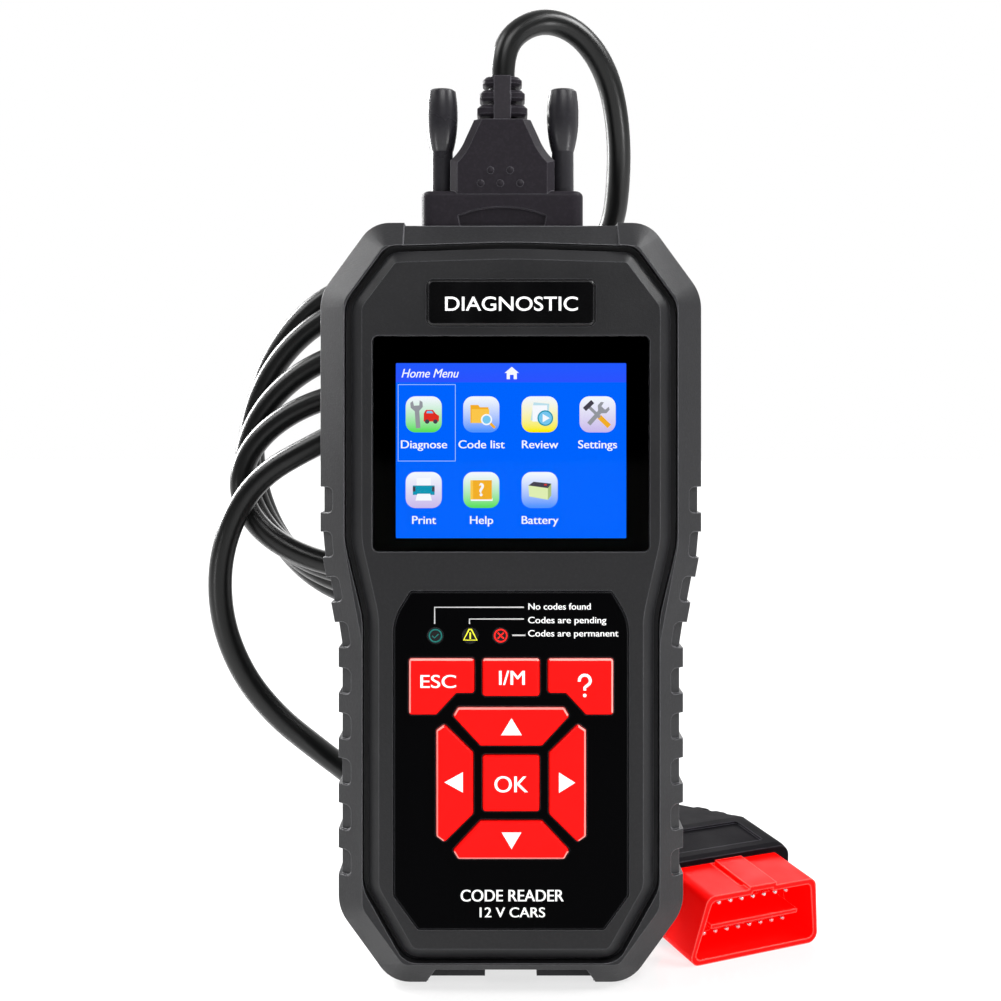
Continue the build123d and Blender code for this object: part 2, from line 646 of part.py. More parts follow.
def make_tie():
    """A strap round all the turns at the bottom of the coil."""
    y = (COIL_FRONT[0] - CORD_R - 0.2, COIL_BACK[0] + CORD_R + 0.2)
    z = (COIL_BACK[1] - CORD_R - 0.3, COIL_FRONT[1] + CORD_R + 1.2)
    x = (COIL_X - TIE_WIDTH / 2, COIL_X + TIE_WIDTH / 2)
    strap = block(x, (y[0] - TIE_THICK, y[1] + TIE_THICK), (z[0] - TIE_THICK, z[1] + TIE_THICK))
    return strap - block((x[0] - 1, x[1] + 1), y, z)


# ------------------------------------------------------------- vehicle plug
def plug_place():
    """From the plug's own frame, mouth at y = 0 facing -y, to where it lies."""
    return Pos(*PLUG_AT) * Rot(0, 0, PLUG_YAW) * Rot(PLUG_PITCH, 0, 0)


def shroud_outline(grow=0.0):
    """Wide at the bottom, narrow at the top, drawn in x and z."""
    wide, narrow = SHROUD_WIDE / 2 + grow, SHROUD_NARROW / 2 + grow
    low, high = -grow, SHROUD_HEIGHT + grow
    points = [(-wide, low), (wide, low), (narrow, high), (-narrow, high)]
    face = make_face(Polyline(*points, close=True).edges())
    return fillet(face.vertices(), 2.8 + 0.6 * grow)


def make_shroud():
    body = slab(shroud_outline(), 0, SHROUD_LENGTH + 3)
    # The raised keyway on the narrow side, and the slot beside it.
    body += block((-4.7, 4.7), (0, SHROUD_LENGTH), (SHROUD_HEIGHT - 2, SHROUD_HEIGHT + 0.9))
    body -= slab(shroud_outline(-SHROUD_WALL), -1, SHROUD_LENGTH + 4)
    body -= block((-3.6, 3.6), (-1, 12.0), (SHROUD_HEIGHT - 2.2, SHROUD_HEIGHT - 0.7))
    body -= block((-6.0, -4.7), (3.0, SHROUD_LENGTH), (SHROUD_HEIGHT - 0.9, SHROUD_HEIGHT + 1))
    return body


def pin_grid():
    return [(PIN_PITCH * (i - 3.5), z) for z in PIN_ROWS for i in range(8)]


def make_insert():
    body = slab(shroud_outline(-SHROUD_WALL - FIT), 13.0, SHROUD_LENGTH + 3)
    ridge_z = sum(PIN_ROWS) / 2
    body += block((-15.2, 15.2), (1.9, 14), (ridge_z - 0.6, ridge_z + 0.6))
    body -= [rod(x, z, PIN_R, 0, 40) for x, z in pin_grid()]
    return body


def make_pins():
    pins = []
    for x, z in pin_grid():
        pin = rod(x, z, PIN_R, 6.0, SHROUD_LENGTH + 3)
        pins.append(chamfer(front_edges(pin), 0.3))
    return pins


def hood_section(y, half_width, low, high, corner):
    points = [(-half_width, low), (half_width, low), (half_width - 3, high), (-half_width + 3, high)]
    face = make_face(Polyline(*points, close=True).edges())
    return facing(y) * fillet(face.vertices(), corner)


def join(*sections):
    return loft(list(sections), ruled=True)


def make_obd_hood():
    start = SHROUD_LENGTH + FIT
    mid, end = start + 20, start + HOOD_LENGTH
    top = HOOD_HEIGHT + 0.4
    mouth = hood_section(start, 25.3, -0.4, HOOD_HEIGHT, 4)
    lip = hood_section(start + 2, 25.7, -0.6, top, 4.6)
    widest = hood_section(mid, 25.7, -0.6, top, 5)
    neck = hood_section(end, 13.0, 2.0, 18.6, 5)
    body = join(mouth, lip) + join(lip, widest) + join(widest, neck)
    # A shallow panel on top, and grip ribs that step in towards the cord.
    panel = Pos(0, start + 11) * RectangleRounded(32, 13, 1.2)
    body -= column(panel, top - PANEL_SINK, top + 3)
    for i in range(3):
        y = mid + 1 + 6 * i
        half = 25.9 - 2.4 * i
        body += join(hood_section(y, half, 0.2, HOOD_HEIGHT - 0.1 - i, 4),
                     hood_section(y + 2.4, half - 0.9, 0.4, HOOD_HEIGHT - 0.6 - i, 4))
    # Strain relief: a tapered core with four ribs.
    relief_end = end + PLUG_RELIEF
    body += join(facing(end - 1) * Pos(0, PLUG_AXIS_Z) * Circle(6),
                 facing(relief_end) * Pos(0, PLUG_AXIS_Z) * Circle(4.6))
    for i in range(4):
        y = end + 2 + 4.6 * i
        rib = RectangleRounded(14.5 - 1.2 * i, 13 - 1.0 * i, 3)
        body += slab(Pos(0, PLUG_AXIS_Z) * rib, y, y + 2.2)
    body -= slab(shroud_outline(FIT), 0, SHROUD_LENGTH + 3 + FIT)
    return body


def relief_point(beyond=0.0):
    """A point on the plug's axis, past the end of its strain relief."""
    y = SHROUD_LENGTH + FIT + HOOD_LENGTH + PLUG_RELIEF + beyond
    spot = plug_place() * Pos(0, y, PLUG_AXIS_Z)
    return tuple(round(v, 2) for v in spot.position)


# ------------------------------------------------------------------- build
KEYS = key_shapes()
save(make_bumper(), "bumper")
save(make_front_cover(KEYS), "front_cover")
save(make_rear_cover(), "rear_cover")
save(make_badge(), "badge_plate")
save(make_lens(), "screen_lens")
save(make_mask(), "screen_mask")
save(make_lcd(), "lcd_panel")
save(make_lcd_frame(), "lcd_frame")
save(make_lcd_flex(), "lcd_flex")
save(make_keypad_plate(KEYS), "keypad_plate")
for NODE, SHAPE in KEYS.items():
    save(make_key(SHAPE), NODE)
save(make_membrane(), "keypad_membrane")
for NODE, LED_X in LED_PLACES.items():
    save(make_led(LED_X), NODE)
save(make_board(), "main_board")
save(on_board(0, 140, 14, 14, 1.4), "processor")
save(on_board(0, 120, 9, 14, 1.0), "memory_chip")
save(Compound(make_signal_chips()), "signal_chips")
save(on_board(13, 140, 3.4, 8, 2.6), "crystal")
save(rod(-18, 82, 5.5, BOARD_BACK_Y, BOARD_BACK_Y + 4.5), "buzzer")
save(Compound(make_power_parts()), "power_parts")
save(Compound(make_case_screws()), "case_screws")
save(Compound(make_board_screws()), "board_screws")
USB_SHELL, USB_TONGUE = make_usb()
save(USB_SHELL, "usb_shell")
save(USB_TONGUE, "usb_tongue")
save(make_label(), "rating_label")
PORT_SHELL, PORT_INSULATOR, PORT_PINS = make_port()
save(PORT_SHELL, "port_shell")
save(PORT_INSULATOR, "port_insulator")
save(Compound(PORT_PINS), "port_pins")
save(Compound(make_jack_nuts()), "jack_nuts")
PLUG_SHELL, PLUG_INSULATOR = make_plug_insert()
save(PLUG_SHELL, "dsub_shell")
save(PLUG_INSULATOR, "dsub_insulator")
save(make_dsub_hood(), "dsub_hood")
for SIDE, NAME in ((-1, "left"), (1, "right")):
    KNOB, SHAFT = make_thumbscrew(SIDE)
    save(KNOB, f"thumbscrew_knob_{NAME}")
    save(SHAFT, f"thumbscrew_shaft_{NAME}")
print("relief", relief_point(), relief_point(16.0))
save(make_tube(ARC_ROUTE, "lead_arc"), "lead_arc")
save(make_tube(RUN_ROUTE + [relief_point(16.0), relief_point()], "lead_run"), "lead_run")
save(make_coil(), "lead_coil")
save(make_tie(), "cable_tie")
save(plug_place() * make_shroud(), "obd_shroud")
save(plug_place() * make_insert(), "obd_insert")
save(plug_place() * Compound(make_pins()), "obd_pins")
save(plug_place() * make_obd_hood(), "obd_hood")
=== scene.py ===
from math import cos, pi, radians, sin

import bpy
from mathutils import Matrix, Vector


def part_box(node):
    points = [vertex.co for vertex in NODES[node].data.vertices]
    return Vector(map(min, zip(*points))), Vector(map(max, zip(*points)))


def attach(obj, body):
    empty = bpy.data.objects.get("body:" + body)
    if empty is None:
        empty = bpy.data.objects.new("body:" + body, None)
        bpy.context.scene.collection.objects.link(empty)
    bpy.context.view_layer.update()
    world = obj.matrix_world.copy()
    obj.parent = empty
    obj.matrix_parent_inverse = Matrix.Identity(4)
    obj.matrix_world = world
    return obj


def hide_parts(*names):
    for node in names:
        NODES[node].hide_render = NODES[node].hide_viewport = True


# Looks of the hand-held code reader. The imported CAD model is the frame; this
# script adds its finishes, printing, display picture and the free lead.
# Sizes below are in millimetres, and heights are measured from the CAD model's
# datum, which is LIFT above the floor; the frame itself is in metres.

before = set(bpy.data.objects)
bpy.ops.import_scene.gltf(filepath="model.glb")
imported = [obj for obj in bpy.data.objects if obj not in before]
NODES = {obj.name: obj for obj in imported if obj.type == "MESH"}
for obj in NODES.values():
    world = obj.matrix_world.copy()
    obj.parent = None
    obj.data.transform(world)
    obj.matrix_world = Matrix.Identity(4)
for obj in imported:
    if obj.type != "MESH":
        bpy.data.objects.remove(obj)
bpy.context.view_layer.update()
MM = 0.001
LIFT = 3.4                           # the datum of all heights is this far above the floor
CASE = "reader"                      # the body that everything fixed rides on
PAD_Z = 52.75                        # centre of the arrow pad

# Depths of the surfaces that carry printing, in mm, from the CAD model.
PLATE_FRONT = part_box("keypad_plate")[0].y / MM
KEY_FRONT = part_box("key_ok")[0].y / MM
LED_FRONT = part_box("led_green")[0].y / MM
BADGE_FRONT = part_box("badge_plate")[0].y / MM
PANEL_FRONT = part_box("lcd_panel")[0].y / MM
LABEL_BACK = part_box("rating_label")[1].y / MM
INK = 0.02                           # how far printing stands off its surface
LAYER = 0.006                        # step between the flat shapes of one drawing
FLATTEN = 0.05                       # share of its thickness that a printed line keeps
CAPITAL_SHARE = 0.72                 # height of the capitals over the font's own size
FACE_VIEWER = (radians(90), 0, 0)    # stands a piece that is drawn flat upright, facing -y
FACE_BACK = (radians(90), 0, radians(180))


# ------------------------------------------------------------------- camera
def make_camera():
    data = bpy.data.cameras.new("front_view")
    data.sensor_width = 36
    data.lens = 53.43
    data.shift_y = -0.0744
    camera = bpy.data.objects.new("front_view", data)
    camera.location = (-0.0028, -0.4105, 0.1504)
    camera.rotation_euler = FACE_VIEWER
    bpy.context.scene.collection.objects.link(camera)
    bpy.context.scene.camera = camera


# ---------------------------------------------------------------- the finishes
def srgb(red, green, blue):
    """A colour as a paint chart gives it, 0 to 255, for a shader."""
    linear = []
    for value in (red, green, blue):
        share = value / 255
        linear.append(share / 12.92 if share < 0.04045 else ((share + 0.055) / 1.055) ** 2.4)
    return (*linear, 1.0)


class Look:
    """A node material round one Principled shader, its textures in object space."""

    def __init__(self, name, color, roughness, **sockets):
        self.material = bpy.data.materials.new(name)
        self.material.use_nodes = True
        self.tree = self.material.node_tree
        self.shader = self.tree.nodes["Principled BSDF"]
        self.color = color
        self.shader.inputs["Base Color"].default_value = color
        self.shader.inputs["Roughness"].default_value = roughness
        for socket, value in sockets.items():
            self.shader.inputs[socket.replace("_", " ")].default_value = value
        self.place = self.add("ShaderNodeTexCoord").outputs["Object"]
        self.normal = None

    def add(self, kind, **settings):
        node = self.tree.nodes.new(kind)
        for key, value in settings.items():
            setattr(node, key, value)
        return node

    def link(self, output, target):
        self.tree.links.new(output, target)

    def noise(self, size, detail=3.0, stretch=(1, 1, 1)):
        """Noise whose lumps are about size mm across."""
        squeeze = self.add("ShaderNodeMapping")
        squeeze.inputs["Scale"].default_value = stretch
        self.link(self.place, squeeze.inputs["Vector"])
        node = self.add("ShaderNodeTexNoise")
        node.inputs["Scale"].default_value = 1 / (size * MM)
        node.inputs["Detail"].default_value = detail
        self.link(squeeze.outputs["Vector"], node.inputs["Vector"])
        return node.outputs["Fac"]

    def cells(self, size):
        node = self.add("ShaderNodeTexVoronoi")
        node.inputs["Scale"].default_value = 1 / (size * MM)
        self.link(self.place, node.inputs["Vector"])
        return node.outputs["Distance"]

    def bands(self, size, direction, shape="SIN"):
        """Ridges that repeat every size mm along one axis."""
        node = self.add("ShaderNodeTexWave", bands_direction=direction, wave_profile=shape)
        node.inputs["Scale"].default_value = pi / 10 / (size * MM)
        self.link(self.place, node.inputs["Vector"])
        return node.outputs["Fac"]

    def spread(self, value, low, high, from_low=0.3, from_high=0.7):
        node = self.add("ShaderNodeMapRange")
        node.inputs["From Min"].default_value = from_low
        node.inputs["From Max"].default_value = from_high
        node.inputs["To Min"].default_value = low
        node.inputs["To Max"].default_value = high
        self.link(value, node.inputs["Value"])
        return node.outputs["Result"]

    def rough(self, value, low, high):
        self.link(self.spread(value, low, high), self.shader.inputs["Roughness"])
        return self

    def round_edges(self, radius):
        """Shades the sharp edges of a moulding as if they had a small radius."""
        node = self.add("ShaderNodeBevel", samples=4)
        node.inputs["Radius"].default_value = radius * MM
        self.normal = node.outputs["Normal"]
        self.link(self.normal, self.shader.inputs["Normal"])
        return self

    def bump(self, value, height, strength=1.0):
        node = self.add("ShaderNodeBump")
        node.inputs["Strength"].default_value = strength
        node.inputs["Distance"].default_value = height * MM
        self.link(value, node.inputs["Height"])
        if self.normal is not None:
            self.link(self.normal, node.inputs["Normal"])
        self.normal = node.outputs["Normal"]
        self.link(self.normal, self.shader.inputs["Normal"])
        return self

    def glow(self, color, strength):
        """Light of its own, which a dark scene would show too."""
        self.shader.inputs["Emission Color"].default_value = color
        self.shader.inputs["Emission Strength"].default_value = strength

    def edge(self, radius):
        """1 on a sharp edge, 0 on a flat face."""
        soft = self.add("ShaderNodeBevel", samples=4)
        soft.inputs["Radius"].default_value = radius * MM
        flat = self.add("ShaderNodeNewGeometry").outputs["Normal"]
        dot = self.add("ShaderNodeVectorMath", operation="DOT_PRODUCT")
        self.link(soft.outputs["Normal"], dot.inputs[0])
        self.link(flat, dot.inputs[1])
        return self.spread(dot.outputs["Value"], 1.0, 0.0, 0.8, 0.995)

    def outward(self, middle, near, far):
        """1 on bevels that look away from middle, 0 on flat fronts and on those nearer to it.

        It works from places in the scene, so it holds only while the object stands at the origin.
        """
        place = self.add("ShaderNodeNewGeometry")
        arm = self.add("ShaderNodeVectorMath", operation="SUBTRACT")
        self.link(place.outputs["Position"], arm.inputs[0])
        arm.inputs[1].default_value = middle
        across = self.add("ShaderNodeVectorMath", operation="MULTIPLY")
        self.link(arm.outputs["Vector"], across.inputs[0])
        across.inputs[1].default_value = (1, 0, 1)
        dot = self.add("ShaderNodeVectorMath", operation="DOT_PRODUCT")
        self.link(across.outputs["Vector"], dot.inputs[0])
        self.link(place.outputs["True Normal"], dot.inputs[1])
        return self.spread(dot.outputs["Value"], 0.0, 1.0, near * MM, far * MM)

    def tint(self, value, other, from_low=0.3, from_high=0.7):
        """Turns the colour towards another one as value rises."""
        node = self.add("ShaderNodeMix", data_type="RGBA")
        self.link(self.spread(value, 0, 1, from_low, from_high), node.inputs["Factor"])
        source = self.shader.inputs["Base Color"]
        if source.links:
            self.link(source.links[0].from_socket, node.inputs["A"])
        else:
            node.inputs["A"].default_value = self.color
        node.inputs["B"].default_value = other
        self.link(node.outputs["Result"], source)
        return self


def moulded(name, color, roughness, painted_edge_highlight, grain=0.42, depth=0.05, radius=0.35, level=0.34):
    """Spark-eroded plastic: a fine grain, uneven gloss and a painted highlight that lightens its edges."""
    look = Look(name, color, roughness, Specular_IOR_Level=level)
    look.round_edges(radius)
    look.bump(look.noise(grain, 2.0), depth)
    look.rough(look.noise(14, 4.0), roughness - 0.06, roughness + 0.08)
    look.tint(look.noise(0.8, 3.0), tuple(c * 1.35 for c in color[:3]) + (1.0,), 0.45, 0.8)
    # painted highlight: sharp edges turn towards a lighter colour, standing in for the light they catch
    look.tint(look.edge(radius * 1.2), painted_edge_highlight, 0.1, 1.0)
    return look.material


def glossy(name, color, roughness, painted_rim_highlight, level=0.3):
    """Polished plastic with faint wipe marks in its gloss; the colour after the roughness is a painted
    highlight on its edges.
    """
    look = Look(name, color, roughness, Specular_IOR_Level=level)
    look.round_edges(0.25)
    look.rough(look.noise(9, 5.0, (1, 1, 0.35)), roughness * 0.7, roughness * 1.6)
    look.bump(look.noise(30, 1.0), 0.02, 0.3)
    # painted highlight: the edges turn towards the rim colour, standing in for the light they catch
    look.tint(look.edge(0.5), painted_rim_highlight, 0.1, 1.0)
    return look.material


def metal(name, color, roughness, grain=0.5, stretch=(1, 1, 0.12)):
    """Plated or turned metal with fine drawn lines and dulled patches."""
    look = Look(name, color, roughness, Metallic=1.0)
    look.round_edges(0.12)
    look.bump(look.noise(grain, 2.0, stretch), 0.008, 0.6)
    look.rough(look.noise(3, 4.0), roughness * 0.75, roughness * 1.35)
    look.tint(look.noise(5, 3.0), tuple(c * 0.8 for c in color[:3]) + (1.0,), 0.4, 0.9)
    return look.material


def rubber_cord():
    """The lead's jacket: satin, with the fine orange peel of extruded rubber."""
    look = Look("cord_jacket", srgb(9, 10, 10), 0.32, Specular_IOR_Level=0.4)
    look.bump(look.noise(0.7, 2.0), 0.008)
    look.rough(look.noise(12, 4.0), 0.29, 0.36)
    look.tint(look.noise(40, 3.0), srgb(11, 12, 12), 0.4, 0.75)
    return look.material


def bright_red(name, color, glow):
    """The keys: saturated red with a painted glow, though no lamp is in them, and a pale pink painted
    highlight on the bevels that face away from the pad's middle.
    """
    look = Look(name, color, 0.42, Specular_IOR_Level=0.1)
    look.round_edges(0.3)
    look.bump(look.noise(0.5, 2.0), 0.012)
    look.rough(look.noise(6, 4.0), 0.36, 0.5)
    middle = (0, 0, (PAD_Z + LIFT) * MM)
    # painted highlight: pale pink on the outward bevels, placed by where they stand rather than by light
    look.tint(look.outward(middle, 10, 15), srgb(255, 168, 160), 0.0, 1.0)
    # painted glow: the keys give off light of their own
    look.glow(color, glow)
    return look.material


def lens_glass():
    """Clear acrylic. Its index is under the real 1.49, which keeps the room's reflection faint."""
    look = Look("lens_acrylic", (0.97, 0.98, 1.0, 1.0), 0.02, Transmission_Weight=1.0, IOR=1.1)
    return look.material


def printed(name, color, roughness=0.5, glow=0.0):
    """Screen-printed ink, slightly uneven. A glow, where given, is painted: the ink gives off light though
    it is no lamp.
    """
    look = Look(name, color, roughness, Specular_IOR_Level=0.3)
    look.bump(look.noise(0.25, 2.0), 0.01)
    look.rough(look.noise(2, 3.0), roughness - 0.08, roughness + 0.1)
    if glow:
        # painted glow: the ink shines with light of its own
        look.glow(color, glow)
    return look.material


def lit(name, color, other=None):
    """Part of the display picture; other is its colour at the top edge."""
    look = Look(name, (0, 0, 0, 1), 0.6, Specular_IOR_Level=0.0)
    look.glow(color, 1.0)
    if other is not None:
        across = look.add("ShaderNodeTexCoord").outputs["Generated"]
        split = look.add("ShaderNodeSeparateXYZ")
        look.link(across, split.inputs["Vector"])
        mix = look.add("ShaderNodeMix", data_type="RGBA")
        mix.inputs["A"].default_value = color
        mix.inputs["B"].default_value = other
        look.link(look.spread(split.outputs["Z"], 0, 1, 0.05, 0.95), mix.inputs["Factor"])
        look.link(mix.outputs["Result"], look.shader.inputs["Emission Color"])
    return look.material


def circuit_board():
    look = Look("board_mask", srgb(22, 92, 52), 0.35)
    tracks = look.bands(1.4, "X", "SAW")
    look.bump(tracks, 0.03, 0.6)
    look.tint(look.cells(4.0), srgb(34, 120, 66), 0.25, 0.6)
    return look.material


def plug_red():
    """The vehicle plug: red with a painted glow, though no lamp is in it, and a painted highlight that
    makes its edges paler.
    """
    look = Look("plug_red", srgb(255, 9, 7), 0.4, Specular_IOR_Level=0.05)
    look.round_edges(0.4)
    look.rough(look.noise(9, 4.0), 0.32, 0.5)
    # painted highlight: the edges turn pale pink, standing in for the light they catch
    look.tint(look.edge(0.7), srgb(255, 130, 122), 0.1, 1.0)
    # painted glow: the plug gives off red light of its own
    look.glow(srgb(255, 4, 3), 0.26)
    return look.material


def woven_strap():
    """Hook-and-loop tape: a close weave with a furry surface."""
    look = Look("strap_weave", srgb(24, 24, 26), 0.85, Sheen_Weight=0.4)
    look.bump(look.bands(0.9, "X"), 0.15)
    look.bump(look.bands(0.9, "DIAGONAL"), 0.12)
    look.bump(look.noise(0.3, 3.0), 0.08)
    look.tint(look.noise(0.5, 3.0), srgb(52, 52, 56), 0.5, 0.85)
    return look.material


def paint(look, *nodes):
    """Gives CAD nodes this finish in their own material slots."""
    for node in nodes:
        for place in NODES[node].material_slots:
            place.material = look


KEYS = ("key_esc", "key_monitor", "key_help", "key_up", "key_down", "key_left", "key_right", "key_ok")
LIGHTS = ("led_green", "led_yellow", "led_red")


def finish_cad():
    # In every moulded and glossy finish below, the colour after the roughness is a painted highlight on the
    # edges.
    paint(moulded("case_grain", srgb(27, 27, 29), 0.46, srgb(104, 104, 108)), "front_cover", "rear_cover")
    bumper = moulded("bumper_grain", srgb(36, 36, 38), 0.44, srgb(128, 128, 132), grain=0.5, level=0.28)
    paint(bumper, "bumper")
    paint(glossy("badge_gloss", srgb(8, 8, 9), 0.14, srgb(84, 84, 86)), "badge_plate")
    paint(glossy("keypad_gloss", srgb(3, 3, 4), 0.2, srgb(72, 72, 75), level=0.02), "keypad_plate")
    paint(lens_glass(), "screen_lens")
    paint(printed("mask_ink", srgb(22, 22, 22), 0.6), "screen_mask")
    paint(lit("screen_blue", srgb(0, 100, 255)), "lcd_panel")
    tin = metal("pressed_tin", srgb(170, 170, 175), 0.35)
    paint(tin, "lcd_frame", "crystal", "power_parts", "usb_shell")
    paint(printed("flex_film", srgb(190, 120, 45), 0.3), "lcd_flex")
    # The keys' 0.1 is the strength of a painted glow.
    paint(bright_red("key_moulding", srgb(255, 14, 12), 0.1), *KEYS)
    paint(moulded("silicone_pad", srgb(150, 150, 152), 0.7, srgb(170, 170, 172)), "keypad_membrane")
    paint(circuit_board(), "main_board")
    fine = {"grain": 0.3, "depth": 0.02, "radius": 0.1}
    chips = moulded("chip_epoxy", srgb(26, 26, 28), 0.55, srgb(40, 40, 42), **fine)
    paint(chips, "processor", "memory_chip", "signal_chips", "buzzer")
    for node in LIGHTS:
        paint(printed(node + "_window", srgb(9, 9, 10), 0.2), node)
    paint(metal("screw_steel", srgb(120, 122, 126), 0.3), "case_screws", "board_screws")
    paint(metal("label_foil", srgb(150, 152, 156), 0.42, 0.3, (0.1, 1, 1)), "rating_label")
    paint(metal("nickel", srgb(205, 203, 196), 0.22), "port_shell", "jack_nuts", "dsub_shell",
          "thumbscrew_shaft_left", "thumbscrew_shaft_right")
    paint(metal("plug_nickel", srgb(225, 225, 228), 0.25), "obd_pins")
    paint(metal("gold_flash", srgb(222, 180, 96), 0.22), "port_pins")
    insulator = moulded("insulator", srgb(20, 20, 21), 0.5, srgb(34, 34, 36), **fine)
    paint(insulator, "usb_tongue", "port_insulator", "dsub_insulator")
    hood = moulded("hood_satin", srgb(37, 34, 39), 0.42, srgb(96, 94, 100),
                   grain=0.5, depth=0.015, radius=0.4, level=0.1)
    paint(hood, "dsub_hood")
    plug_hood = moulded("plug_hood_satin", srgb(16, 15, 18), 0.55, srgb(78, 76, 82),
                        grain=0.5, depth=0.02, radius=0.5, level=0.02)
    paint(plug_hood, "obd_hood")
    knob = moulded("knob_satin", srgb(36, 35, 39), 0.28, srgb(84, 83, 88),
                   grain=0.6, depth=0.012, radius=0.4, level=0.5)
    paint(knob, "thumbscrew_knob_left", "thumbscrew_knob_right")
    paint(plug_red(), "obd_shroud", "obd_insert")
    paint(woven_strap(), "cable_tie")


# ------------------------------------------------------------------ the lead
CORD_R = 3.5
ARC_ROUTE = [(-2.3, 0, 243.0), (-2.3, 0, 250.5), (2.5, 2.0, 257.5), (11.0, 6.0, 261.0),
             (20.5, 9.5, 257.5), (27.8, 13.0, 247.5), (31.2, 17.5, 233.5), (31.8, 24.0, 218.5),
             (30.5, 32.0, 205.5), (24.0, 42.5, 197.8), (10.0, 52.0, 196.0), (-7.0, 58.5, 197.3),
             (-24.0, 61.5, 195.6)]
RUN_ROUTE = [(6.0, 36.0, 118.0), (6.0, 33.0, 140.0), (-10.0, 29.5, 154.5), (-30.0, 28.5, 154.8),
             (-57.0, 28.5, 142.0), (-76.0, 28.5, 131.0), (-85.3, 28.5, 112.0),
             (-86.0, 29.0, 92.0), (-80.0, 30.0, 74.5), (-70.0, 32.0, 61.0),
             (-58.0, 35.0, 50.5), (-46.0, 43.0, 39.0), (-39.0, 57.0, 26.5), (-38.0, 74.0, 13.0),
             (-37.0, 92.0, 3.2), (-27.0, 109.0, -0.5), (-9.0, 117.0, 8.0), (10.0, 112.0, 19.5),
             (25.3, 95.91, 25.33), (32.68, 82.04, 22.28)]
COIL_X = -38.0
COIL_RX = 44.0
COIL_TOPS = (195.0, 187.3, 172.5, 158.8, 150.0)   # height of each turn at its top
COIL_BOTTOMS = (89.0, 93.5, 98.0, 102.5, 104.0)   # and at its bottom
COIL_DEPTH = (62.0, 7.1)                          # first turn, and step to the next
COIL_TURNS = 3.7
TURN_POINTS = 16


def coil_point(turns):
    """Where the coil is after so many turns, wound left from its top."""
    whole = min(int(turns), len(COIL_TOPS) - 2)
    part = turns - whole
    top = COIL_TOPS[whole] * (1 - part) + COIL_TOPS[whole + 1] * part
    bottom = COIL_BOTTOMS[whole] * (1 - part) + COIL_BOTTOMS[whole + 1] * part
    angle = 2 * pi * turns
    height = (top + bottom) / 2 + (top - bottom) / 2 * cos(angle)
    return (COIL_X - COIL_RX * sin(angle), COIL_DEPTH[0] - COIL_DEPTH[1] * turns, height)


def make_lead():
    steps = int(COIL_TURNS * TURN_POINTS)
    coil = [coil_point((i + 0.5) / TURN_POINTS) for i in range(steps)]
    route = ARC_ROUTE + coil + RUN_ROUTE
    curve = bpy.data.curves.new("lead", "CURVE")
    curve.dimensions = "3D"
    line = curve.splines.new("NURBS")
    line.points.add(len(route) - 1)
    for point, (x, y, z) in zip(line.points, route):
        point.co = (x * MM, y * MM, (z + LIFT) * MM, 1)
    line.order_u = 3
    line.use_endpoint_u = True
    line.resolution_u = 8
    curve.bevel_depth = CORD_R * MM
    curve.bevel_resolution = 8
    curve.use_fill_caps = True
    curve.materials.append(rubber_cord())
    lead = bpy.data.objects.new("lead", curve)
    bpy.context.scene.collection.objects.link(lead)
    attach(lead, CASE)
    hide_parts("lead_arc", "lead_coil", "lead_run")


# ----------------------------------------------------------------- printing
def place(obj, x, y, z, body, look):
    """Links a piece drawn in its own x and y so that it faces the viewer."""
    obj.rotation_euler = FACE_VIEWER
    obj.location = (x * MM, y * MM, (z + LIFT) * MM)
    obj.data.materials.append(look)
    bpy.context.scene.collection.objects.link(obj)
    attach(obj, body)
    return obj


def words(name, text, x, z, y, size, look, body=CASE, align="CENTER", slant=0.0, weight=0.0, wide=1.0,
          bold=0.0):
    """Printed lettering in the built-in face, size mm high over its capitals.

    weight swells large letters, and bold thickens small ones by printing them again to each side.
    """
    curve = bpy.data.curves.new(name, "FONT")
    curve.body = text
    curve.size = size * MM / CAPITAL_SHARE
    curve.shear = slant
    curve.offset = weight * MM
    curve.extrude = INK / 4 * MM
    curve.align_x = align
    obj = place(bpy.data.objects.new(name, curve), x, y - INK, z, body, look)
    obj.scale = (wide, 1, 1)
    if bold:
        for i, shift in enumerate((-bold / 2, bold / 2)):
            copy = curve.copy()
            copy.materials.clear()
            again = place(bpy.data.objects.new(f"{name}_bold_{i}", copy), x + shift, y - INK, z, body, look)
            again.scale = (wide, 1, 1)
    return obj


def stroke(name, points, width, y, look, body=CASE, closed=False):
    """A flat printed line through points (x, z)."""
    curve = bpy.data.curves.new(name, "CURVE")
    curve.dimensions = "3D"
    line = curve.splines.new("POLY")
    line.points.add(len(points) - 1)
    for point, (x, z) in zip(line.points, points):
        point.co = (x * MM, z * MM, 0, 1)
    line.use_cyclic_u = closed
    curve.bevel_depth = width / 2 * MM
    curve.bevel_resolution = 1
    obj = place(bpy.data.objects.new(name, curve), 0, y - INK, 0, body, look)
    obj.scale = (1, 1, FLATTEN)
    return obj


def ring(x, z, radius, count=40):
    angles = [2 * pi * i / count for i in range(count)]
    return [(x + radius * cos(angle), z + radius * sin(angle)) for angle in angles]


def rounded(x, z, width, height, corner, steps=6):
    """Outline of a rounded rectangle round (x, z)."""
    points = []
    for quarter, (sx, sz) in enumerate(((1, 1), (-1, 1), (-1, -1), (1, -1))):
        cx, cz = x + sx * (width / 2 - corner), z + sz * (height / 2 - corner)
        for i in range(steps + 1):
            angle = pi / 2 * (quarter + i / steps)
            points.append((cx + corner * cos(angle), cz + corner * sin(angle)))
    return points


